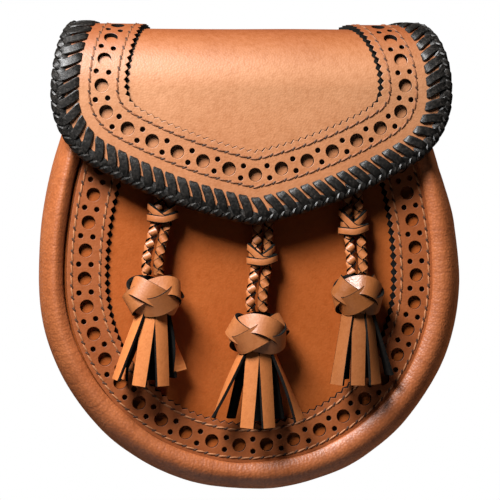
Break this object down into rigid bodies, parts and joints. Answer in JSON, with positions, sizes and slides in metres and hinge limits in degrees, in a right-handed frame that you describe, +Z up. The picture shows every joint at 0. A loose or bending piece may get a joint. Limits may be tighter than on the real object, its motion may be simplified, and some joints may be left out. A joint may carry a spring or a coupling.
{
  "type": "sporran pouch",
  "caption": "Leather belt pouch with a rounded body, soft gusset, flap over the top with pierced, pinked borders and black edge lacing, and plaited tassels hanging in front",
  "frame": {"origin": "the middle of the belt tunnel on the back, where the pouch hangs on a belt", "axes": "+Z up as worn, -Y the front with the flap and tassels, +X to the viewer's right when facing the front"},
  "size_m": [0.1818, 0.0621, 0.2012],
  "materials": {
    "tan_leather": "satin grain",
    "soft_leather": "soft satin",
    "flap_leather": "satin grain",
    "black_lace": "satin",
    "plait_leather": "satin",
    "tassel_leather": "satin grain"
  },
  "bodies": {
    "root": {"front_panel": "tan_leather", "front_border": "tan_leather", "gusset": "soft_leather", "back_panel": "tan_leather", "flap": "flap_leather", "flap_border": "flap_leather", "flap_lacing": "black_lace", "belt_loop": "tan_leather", "tassel_left_cord": "plait_leather", "tassel_left": "tassel_leather", "tassel_middle_cord": "plait_leather", "tassel_middle": "tassel_leather", "tassel_right_cord": "plait_leather", "tassel_right": "tassel_leather"}
  },
  "joints": []
}
